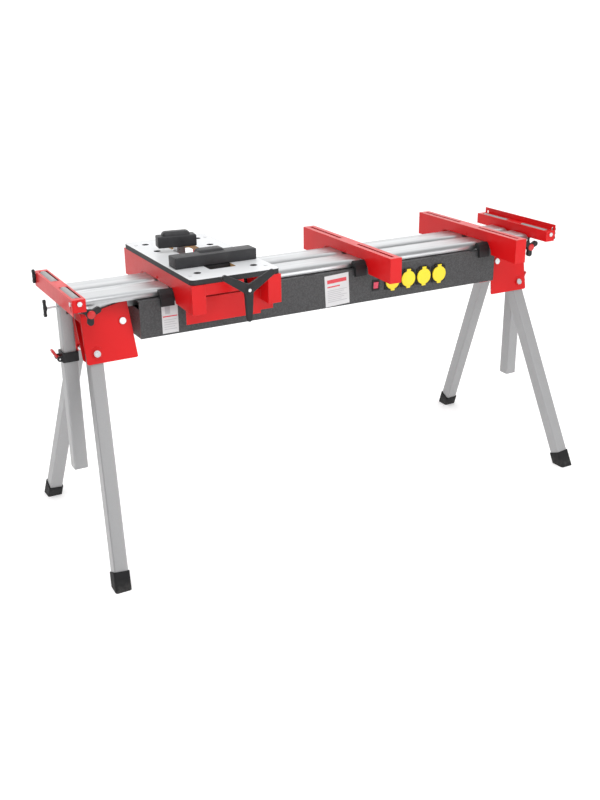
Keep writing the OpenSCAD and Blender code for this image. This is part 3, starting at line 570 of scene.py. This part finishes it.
def tapered_arm(name, reach, root, tip, thickness):
    """Flat arm along +X, wider at its end and round there, lying on Z = 0."""
    arm = block(name, (0, -root / 2, 0), (reach, root / 2, thickness), bevel=0)
    bpy.ops.object.mode_set(mode="EDIT")
    bpy.ops.mesh.select_all(action="DESELECT")
    bpy.ops.object.mode_set(mode="OBJECT")
    for face in arm.data.polygons:
        face.select = face.normal.x > 0.5
    bpy.ops.object.mode_set(mode="EDIT")
    bpy.ops.transform.resize(value=(1, tip / root, 1))
    bpy.ops.object.mode_set(mode="OBJECT")
    end = turned(name + "_end", (reach, 0, 0), (0, 0, 1), [(0, tip / 2), (thickness, tip / 2)])
    return join(name, arm, end)


def three_arms(name, centre, angles, reach, root, tip, thickness):
    """Three copies of an arm around a hub, at angles in the upright plane that faces the front."""
    arm = tapered_arm(name, reach, root, tip, thickness)
    stand = Matrix.Translation(Vector(centre)) @ Matrix.Rotation(math.radians(-90), 4, "X")
    made = []
    for i, angle in enumerate(angles):
        twin = copy_of(arm, f"{name}_{i}")
        twin.matrix_world = stand @ Matrix.Rotation(math.radians(-angle), 4, "Z")
        made.append(apply_place(twin))
    bpy.data.objects.remove(arm)
    return made


# ---------- pieces ----------


class STAND_OT_finishes(bpy.types.Operator):
    """Gives every carried-over node its finish"""

    bl_idname = "stand.finishes"
    bl_label = "Finishes"

    def execute(self, context):
        coats = {
            "aluminium": ["beam"],
            "hammered": ["tray"],
            "red": ["bracket_left", "bracket_right", "machine_mount_1", "machine_mount_2", "vise_frame"],
            "black": ["arm_guides", "switch_frame", "socket_flanges", "power_inlet", "vise_levers",
                      "jaw_carriage", "mount_lever_1", "mount_lever_2"],
            "zinc": ["frame_fasteners", "vise_screw", "rear_jaw_stem"],
            "rocker": ["switch_rocker"],
            "laminate": ["vise_top"],
            "silver": [],
            "rubber": [],
        }
        for side in OUTWARD:
            coats["silver"] += [f"leg_front_{side}", f"leg_back_{side}"]
            coats["silver"] += [f"drop_leg_upper_{side}", f"drop_leg_lower_{side}"]
            coats["rubber"] += [f"foot_front_{side}", f"foot_back_{side}"]
            coats["red"] += [f"roller_channel_{side}", f"stop_plate_{side}"]
            coats["zinc"] += [f"arm_tubes_{side}", f"channel_axle_{side}"]
            coats["black"] += [f"drop_collar_{side}"]
        for name, members in coats.items():
            for member in members:
                coat(nodes[member], name)
        return {"FINISHED"}


class STAND_OT_crank(bpy.types.Operator):
    """Adds the three-arm crank handle of the vise"""

    bl_idname = "stand.crank"
    bl_label = "Crank handle"

    def execute(self, context):
        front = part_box("crank_handle")[0].y
        hub = middle_of("vise_screw")
        centre = (hub.x, front + 0.003, hub.z)
        arms = three_arms("crank_arm", centre, (29.5, 149.5, -90.5), 0.0755, 0.0262, 0.0165, 0.0085)
        boss = turned("crank_boss", (hub.x, front, hub.z), (0, 1, 0),
                      [(0.0005, 0.0085), (0.0015, 0.0105), (0.004, 0.013), (0.010, 0.0155),
                       (0.0225, 0.014)])
        handle = melt(join("crank", boss, *arms), 0.0013, 5)
        wear(handle, "black", body_of("crank_handle"), "black_plastic", "crank_handle")
        cap = turned("crank_bolt", (hub.x, front - 0.0002, hub.z), (0, 1, 0),
                     [(0, 0.0035), (0.0008, 0.0052), (0.004, 0.0055)], 6, 20)
        wear(cap, "zinc", body_of("crank_handle"), "zinc")
        return {"FINISHED"}


class STAND_OT_arm_locks(bpy.types.Operator):
    """Adds the three-lobe arm lock knobs with their red caps and screws"""

    bl_idname = "stand.arm_locks"
    bl_label = "Arm locks"

    def execute(self, context):
        for side, out in OUTWARD.items():
            node = f"arm_lock_{side}"
            low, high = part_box(node)
            x = out * ARM_LOCK_X
            z = ARM_LOCK_Z
            front = low.y
            lobes = three_arms(f"lobe_{side}", (x, front + 0.0042, z), (25, 145, -95),
                               0.0215, 0.013, 0.0165, 0.0115)
            hub = turned(f"lobe_hub_{side}", (x, front + 0.003, z), (0, 1, 0),
                         [(0.0002, 0.0115), (0.0015, 0.0128), (0.012, 0.0128), (0.0175, 0.0095)])
            knob = melt(join(f"arm_lock_knob_{side}", hub, *lobes), 0.0009, 5)
            wear(knob, "black", node, "black_plastic", node)
            cap = turned(f"arm_lock_cap_{side}", (x, front, z), (0, 1, 0),
                         [(0.0003, 0.0075), (0.0009, 0.0095), (0.0021, 0.0108), (0.0042, 0.0110)])
            wear(cap, "red plastic", node, "red_plastic")
            thread = [(0.0195, 0.0036)]
            for i in range(int((high.y - front - 0.0205) / THREAD_PITCH)):
                thread += [(0.0195 + (i + 0.5) * THREAD_PITCH, 0.0040),
                           (0.0195 + (i + 1) * THREAD_PITCH, 0.0035)]
            screw = turned(f"arm_lock_screw_{side}", (x, front, z), (0, 1, 0), thread, 20)
            wear(screw, "zinc", node, "zinc")
        return {"FINISHED"}


class STAND_OT_wing_knobs(bpy.types.Operator):
    """Adds the wing knobs of the stop plates and the drop legs"""

    bl_idname = "stand.wing_knobs"
    bl_label = "Wing knobs"

    HUB = 0.0090
    KINDS = (("stop_knob", 0.007, 0.0135), ("drop_knob", 0.008, 0.0175))

    def knob(self, kind, side, radius, wing):
        """Hub with two wings, its threaded stud, and the head on a drop leg's stud."""
        node = f"{kind}_{side}"
        out = OUTWARD[side]
        low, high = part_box(node)
        centre = middle_of(node)
        tip = high.x if out > 0 else -low.x
        hub = turned(f"{node}_hub", (out * (tip - self.HUB), centre.y, centre.z), (out, 0, 0),
                     [(0.0002, radius * 0.92), (0.0015, radius), (0.006, radius * 0.95),
                      (0.0085, radius * 0.7)])
        blade = block(f"{node}_blade", (0.0012, -0.0036, 0), (0.0085, 0.0036, wing), 0.0008)
        end = turned(f"{node}_end", (0.0012, 0, wing), (1, 0, 0),
                     [(0, 0.0048), (0.001, 0.0058), (0.0066, 0.0058), (0.0076, 0.0048)])
        lower = join(f"{node}_wing", blade, end)
        upper = copy_of(lower, f"{node}_wing_up")
        for leaf, tilt in ((lower, math.pi), (upper, 0)):
            leaf.matrix_world = (Matrix.Translation((out * (tip - self.HUB), centre.y, centre.z))
                                 @ Matrix.Rotation(0 if out > 0 else math.pi, 4, "Z")
                                 @ Matrix.Rotation(tilt, 4, "X"))
            apply_place(leaf)
        grip = melt(join(f"{node}_grip", hub, lower, upper), 0.0007, 4)
        wear(grip, "black", body_of(node), "black_plastic", node)

        stud_end = low.x if out > 0 else -high.x
        thread = [(0, 0.0025)]
        for i in range(int((tip - self.HUB - stud_end) / STUD_PITCH)):
            thread += [((i + 0.5) * STUD_PITCH, 0.0030), ((i + 1) * STUD_PITCH, 0.0026)]
        stud = turned(f"{node}_stud", (out * stud_end, centre.y, centre.z), (out, 0, 0), thread, 16)
        wear(stud, "zinc", body_of(node), "zinc")
        if kind == "drop_knob":
            nut = turned(f"{node}_head", (out * stud_end, centre.y, centre.z), (out, 0, 0),
                         [(0.0002, 0.0048), (0.0008, 0.0057), (0.0039, 0.0057)], 6, 20)
            wear(nut, "zinc", body_of(node), "zinc")

    def execute(self, context):
        for side in OUTWARD:
            for kind, radius, wing in self.KINDS:
                self.knob(kind, side, radius, wing)
        return {"FINISHED"}


class STAND_OT_jaws(bpy.types.Operator):
    """Adds the moulded jaws of the vise"""

    bl_idname = "stand.jaws"
    bl_label = "Jaws"

    turn: bpy.props.FloatProperty(
        name="Turn", description="Turn of the rear jaw", default=-9, min=-12, max=12)

    def execute(self, context):
        low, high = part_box("front_jaw")
        pivot = Vector((middle_of("vise_screw").x, middle_of("jaw_carriage").y, low.z))
        half = (high.x - low.x) / 2
        bar = block("front_jaw_bar", (-half, -0.0285, 0), (half, 0.0285, 0.030), bevel=0)
        for vertex in bar.data.vertices:
            vertex.select = vertex.co.z > 0.02
        bpy.ops.object.mode_set(mode="EDIT")
        bpy.ops.mesh.select_mode(type="VERT")
        bpy.ops.transform.resize(value=(1 - 0.007 / half, 0.86, 1))
        bpy.ops.object.mode_set(mode="OBJECT")
        use_modifier(bar, "BEVEL", width=0.0026, segments=3, limit_method="ANGLE")
        pad = block("front_jaw_pad", (-0.0395, -0.002, 0.006), (0.0395, 0.047, 0.0358), 0.0125, 6)
        ledge = block("front_jaw_ledge", (-0.0395, 0.004, 0.004), (0.0395, 0.0470, 0.022), 0.0075, 5)
        jaw = join("front_jaw_moulding", bar, pad, ledge)
        bpy.ops.object.shade_smooth_by_angle(angle=math.radians(30))
        jaw.matrix_world = Matrix.Translation(pivot)
        wear(apply_place(jaw), "jaw", body_of("front_jaw"), "black_plastic", "front_jaw")

        low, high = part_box("rear_jaw")
        centre = Vector(((low.x + high.x) / 2, (low.y + high.y) / 2, low.z))
        base = block("rear_jaw_base", (-0.055, -0.020, 0), (0.055, 0.020, 0.0325), 0.0040, 4)
        crown = block("rear_jaw_crown", (-0.0405, -0.0180, 0.010), (0.0390, 0.0180, 0.0438), 0.0115, 7)
        lip = block("rear_jaw_lip", (-0.0548, -0.0198, 0.0015), (0.0548, 0.0198, 0.012), 0.0025, 3)
        jaw = join("rear_jaw_moulding", base, crown, lip)
        bpy.ops.object.shade_smooth_by_angle(angle=math.radians(30))
        jaw.matrix_world = Matrix.Translation(centre) @ Matrix.Rotation(math.radians(self.turn), 4, "Z")
        wear(apply_place(jaw), "jaw", body_of("rear_jaw"), "black_plastic", "rear_jaw")
        return {"FINISHED"}


class STAND_OT_rollers(bpy.types.Operator):
    """Adds the rollers, a front and a back one on each side, with grooves near their ends"""

    bl_idname = "stand.rollers"
    bl_label = "Rollers"

    def execute(self, context):
        for side in OUTWARD:
            node = f"rollers_{side}"
            low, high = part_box(node)
            centre = (low + high) / 2
            radius = (high.z - low.z) / 2
            length = ROLLER_LENGTH
            profile = [(0.0, radius * 0.55), (0.0005, radius * 0.9), (0.0018, radius - 0.0001)]
            for groove in (0.010, length - 0.0125):
                profile += [(groove, radius - 0.0001), (groove + 0.0006, radius - 0.0011),
                            (groove + 0.0019, radius - 0.0011), (groove + 0.0025, radius - 0.0001)]
            profile += [(length - 0.0018, radius - 0.0001), (length - 0.0005, radius * 0.9),
                        (length, radius * 0.55)]
            front = turned(f"{node}_front", (centre.x, low.y, centre.z), (0, 1, 0), profile, 48)
            made = [front, copy_of(front, f"{node}_back", (0, high.y - low.y - length, 0))]
            wear(join(f"{node}_pair", *made), "roller", node, "roller_grey", node)
        return {"FINISHED"}


class STAND_OT_socket_lids(bpy.types.Operator):
    """Adds the sprung socket lids with their rims, tabs and knuckles"""

    bl_idname = "stand.socket_lids"
    bl_label = "Socket lids"

    def lid(self):
        """The first socket's lid."""
        low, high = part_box("socket_lid_1")
        x = (low.x + high.x) / 2
        z = low.z + LID_CENTRE
        front, back = low.y, low.y + 0.0046
        disc = turned("lid_disc", (x, back, z), (0, -1, 0),
                      [(0, 0.0234), (0.0008, 0.0239), (0.0034, 0.0239), (0.0042, 0.0232),
                       (0.00425, 0.0214), (0.0036, 0.0205), (0.0036, 0.0130), (0.0040, 0.0122)], 56, 25)
        tab = block("lid_tab", (x - 0.0068, front + 0.0006, low.z + 0.0002),
                    (x + 0.0068, back, z - 0.0190), 0.0012)
        neck = block("lid_neck", (x - 0.0072, front + 0.0006, z + 0.0190),
                     (x + 0.0072, back, z + 0.0280), 0.0012)
        knuckle = turned("lid_knuckle", (x - 0.0072, front + 0.0022, z + 0.0270), (1, 0, 0),
                         [(0, 0.0020), (0.0005, 0.0025), (0.0139, 0.0025), (0.0144, 0.0020)], 20)
        pin = turned("lid_pin", (x - 0.0134, front + 0.0022, z + 0.0270), (1, 0, 0),
                     [(0, 0.0012), (0.0004, 0.0014), (0.0264, 0.0014), (0.0268, 0.0012)], 16)
        return join("lid_moulding", disc, tab, neck, knuckle, pin)

    def execute(self, context):
        first = self.lid()
        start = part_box("socket_lid_1")[0]
        for i in range(1, 5):
            node = f"socket_lid_{i}"
            lid = copy_of(first, f"{node}_moulding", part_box(node)[0] - start)
            wear(lid, "yellow", body_of(node), "yellow_plastic", node)
        bpy.data.objects.remove(first)
        return {"FINISHED"}


class STAND_OT_drop_levers(bpy.types.Operator):
    """Adds the red flip levers on the drop legs' collars"""

    bl_idname = "stand.drop_levers"
    bl_label = "Drop leg levers"

    def execute(self, context):
        for side, out in OUTWARD.items():
            node = f"drop_lever_{side}"
            low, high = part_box(node)
            pivot = Vector((out * LEVER_PIVOT_X, (low.y + high.y) / 2, low.z + 0.005))
            barrel = turned(f"{node}_barrel", (pivot.x, pivot.y - 0.0094, pivot.z), (0, 1, 0),
                            [(0, 0.0042), (0.0006, 0.0049), (0.0182, 0.0049), (0.0188, 0.0042)], 28)
            pin = turned(f"{node}_pin", (pivot.x, pivot.y - 0.0154, pivot.z), (0, 1, 0),
                         [(0, 0.0021), (0.0004, 0.0024), (0.0304, 0.0024), (0.0308, 0.0021)], 20)
            blade = block(f"{node}_blade", (-0.0018, -0.0088, 0.001), (0.0054, 0.0088, 0.0300), 0.0030, 4)
            first = block(f"{node}_ridge", (0.0044, -0.0065, 0.014), (0.0060, 0.0065, 0.016), 0.0006)
            ridges = [first] + [copy_of(first, f"{node}_ridge", (0, 0, 0.0040 * i)) for i in (1, 2)]
            blade = join(f"{node}_plate", blade, *ridges)
            blade.matrix_world = (Matrix.Translation(pivot)
                                  @ Matrix.Rotation(0 if out > 0 else math.pi, 4, "Z")
                                  @ Matrix.Rotation(LEVER_LEAN, 4, "Y"))
            apply_place(blade)
            lever = join(f"{node}_moulding", barrel, blade)
            wear(lever, "red plastic", node, "red_plastic", node)
            wear(pin, "zinc", node, "zinc")
        return {"FINISHED"}


class STAND_OT_labels(bpy.types.Operator):
    """Adds the two plain label plates on the tray's front"""

    bl_idname = "stand.labels"
    bl_label = "Labels"

    def execute(self, context):
        sizes = context.scene.stand_sizes
        low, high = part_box("tray")
        face = low.y
        z = (low.z + high.z) / 2

        def plate(name, x, z, width, height, tilt, bars):
            """Thin plate with bars, each (coat, left, bottom, right, top) in shares of its size."""
            sheet = block(name, (-width / 2, -0.0006, -height / 2), (width / 2, 0, height / 2), 0.0002)
            made = [("label", sheet)]
            for i, (kind, left, bottom, right, top) in enumerate(bars):
                corner = ((left - 0.5) * width, -0.00085, (bottom - 0.5) * height)
                other = ((right - 0.5) * width, -0.0005, (top - 0.5) * height)
                made.append((kind, block(f"{name}_bar_{i}", corner, other, 0)))
            for kind, piece in made:
                piece.matrix_world = (Matrix.Translation((x, face - 0.0002, z))
                                      @ Matrix.Rotation(math.radians(tilt), 4, "Y"))
                wear(apply_place(piece), kind, "frame", "dark_sheet")

        rows = [("label grey", 0.10, 0.50 - 0.06 * i, 0.90 - 0.12 * (i % 3), 0.52 - 0.06 * i)
                for i in range(7)]
        plate("big_label", 0.014, z - 0.001, sizes.big_label_width, sizes.big_label_height, -3,
              [("label red", 0.10, 0.74, 0.90, 0.86), ("label red", 0.10, 0.61, 0.62, 0.65)] + rows)
        rows = [("label grey", 0.12, 0.42 - 0.075 * i, 0.88 - 0.1 * (i % 2), 0.44 - 0.075 * i)
                for i in range(5)]
        plate("small_label", -0.502, z - 0.003, sizes.small_label_width, sizes.small_label_height, 0,
              [("label grey", 0.20, 0.62, 0.52, 0.90), ("label red", 0.05, 0.52, 0.95, 0.555)] + rows)
        return {"FINISHED"}


class STAND_OT_fasteners(bpy.types.Operator):
    """Adds the domed screws at the corners of the sockets' flanges"""

    bl_idname = "stand.fasteners"
    bl_label = "Fasteners"

    RADIUS = 0.0024
    HEIGHT = 0.0014
    SPREAD = 0.0205
    PROFILE = ((0, 1), (0.25, 1), (0.65, 0.86), (0.92, 0.58), (1, 0.42), (0.55, 0.36), (0.5, 0.05))

    def execute(self, context):
        profile = [(self.HEIGHT * up, self.RADIUS * out) for up, out in self.PROFILE]
        first = turned("socket_screw", (0, 0, 0), (0, -1, 0), profile, 28, 50)
        screws = []
        for i in range(1, 5):
            low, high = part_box(f"socket_lid_{i}")
            middle = Vector(((low.x + high.x) / 2, low.y + 0.0052, low.z + LID_CENTRE))
            for dx in (-self.SPREAD, self.SPREAD):
                for dz in (-self.SPREAD, self.SPREAD):
                    screws.append(copy_of(first, "socket_screw", middle + Vector((dx, 0, dz))))
        bpy.data.objects.remove(first)
        wear(join("socket_screws", *screws), "black", "frame", "zinc")
        return {"FINISHED"}


class STAND_OT_stage(bpy.types.Operator):
    """Adds the floor, the lights and the camera"""

    bl_idname = "stand.stage"
    bl_label = "Stage"

    def light(self, name, place, target, size, power):
        bpy.ops.object.light_add(type="AREA", location=place)
        lamp = bpy.context.object
        lamp.name = name
        lamp.data.energy = power
        lamp.data.size = size
        lamp.rotation_euler = (Vector(target) - Vector(place)).to_track_quat("-Z", "Y").to_euler()

    def sheets(self, settings):
        """The floor and the backdrop, white and faintly lit."""
        deselect()
        bpy.ops.mesh.primitive_plane_add(size=24, location=(0, 0, -0.0005))
        floor = bpy.context.object
        floor.name = "floor"
        f = Finish("pale floor", Roughness=0.8, Specular_IOR_Level=0.1)
        cloud = f.ramp(f.noise(2, 2), 0.3, 0.7)
        f.set(Base_Color=f.blend(cloud, shade(settings.floor, 0.985), settings.floor))
        f.set(Emission_Color=(1, 1, 1), Emission_Strength=settings.floor_glow)
        floor.data.materials.append(f.material)
        upright = (math.radians(90), 0, -CAMERA_YAW)
        bpy.ops.mesh.primitive_plane_add(size=40, location=BACKDROP_PLACE, rotation=upright)
        backdrop = bpy.context.object
        backdrop.name = "backdrop"
        f = Finish("white backdrop", Base_Color=(1, 1, 1), Roughness=1.0)
        f.set(Emission_Color=(1, 1, 1), Emission_Strength=0.75)
        backdrop.data.materials.append(f.material)

    def camera(self, scene):
        bpy.ops.object.camera_add(location=CAMERA_PLACE)
        camera = bpy.context.object
        yaw, pitch, roll = CAMERA_YAW, CAMERA_PITCH, CAMERA_ROLL
        ahead = Vector((math.sin(yaw) * math.cos(pitch), math.cos(yaw) * math.cos(pitch), math.sin(pitch)))
        level = Vector((math.cos(yaw), -math.sin(yaw), 0))
        upward = level.cross(ahead)
        right = level * math.cos(roll) + upward * math.sin(roll)
        up = upward * math.cos(roll) - level * math.sin(roll)
        camera.rotation_euler = Matrix((right, up, -ahead)).transposed().to_euler()
        camera.data.sensor_fit = "VERTICAL"
        camera.data.sensor_height = CAMERA_SENSOR
        camera.data.lens = CAMERA_LENS
        camera.data.clip_end = 60
        scene.camera = camera

    def execute(self, context):
        settings = context.scene.stand_stage
        self.sheets(settings)
        self.light("key", (-1.0, -1.2, 3.2), (0, 0, 0.5), 2.2, settings.key)
        self.light("fill", (1.6, -3.4, 1.3), (0.2, 0, 0.55), 2.0, settings.fill)
        world = bpy.data.worlds.new("studio")
        context.scene.world = world
        world.use_nodes = True
        background = world.node_tree.nodes["Background"]
        background.inputs[0].default_value = (1, 1, 1, 1)
        background.inputs[1].default_value = settings.sky
        self.camera(context.scene)
        context.scene.view_settings.view_transform = "Standard"
        return {"FINISHED"}


class STAND_PT_pieces(bpy.types.Panel):
    """Lists the operators and the settings"""

    bl_label = "Saw Stand"
    bl_idname = "STAND_PT_pieces"
    bl_space_type = "VIEW_3D"
    bl_region_type = "UI"
    bl_category = "Saw Stand"

    def draw(self, context):
        for operator in OPERATORS:
            self.layout.operator(operator.bl_idname)
        for group in (context.scene.stand_colours, context.scene.stand_sizes, context.scene.stand_stage):
            for name in group.__annotations__:
                self.layout.prop(group, name)


GROUPS = {"stand_colours": StandColours, "stand_sizes": StandSizes, "stand_stage": StageSettings}
OPERATORS = (
    STAND_OT_stage,
    STAND_OT_finishes,
    STAND_OT_crank,
    STAND_OT_arm_locks,
    STAND_OT_wing_knobs,
    STAND_OT_jaws,
    STAND_OT_rollers,
    STAND_OT_socket_lids,
    STAND_OT_drop_levers,
    STAND_OT_labels,
    STAND_OT_fasteners,
)


def register():
    for cls in (*GROUPS.values(), *OPERATORS, STAND_PT_pieces):
        bpy.utils.register_class(cls)
    for name, group in GROUPS.items():
        setattr(bpy.types.Scene, name, bpy.props.PointerProperty(type=group))


def unregister():
    for name in GROUPS:
        delattr(bpy.types.Scene, name)
    for cls in reversed((*GROUPS.values(), *OPERATORS, STAND_PT_pieces)):
        bpy.utils.unregister_class(cls)


def main():
    register()
    for operator in OPERATORS:
        group, name = operator.bl_idname.split(".")
        getattr(getattr(bpy.ops, group), name)()


if __name__ == "__main__":
    main()
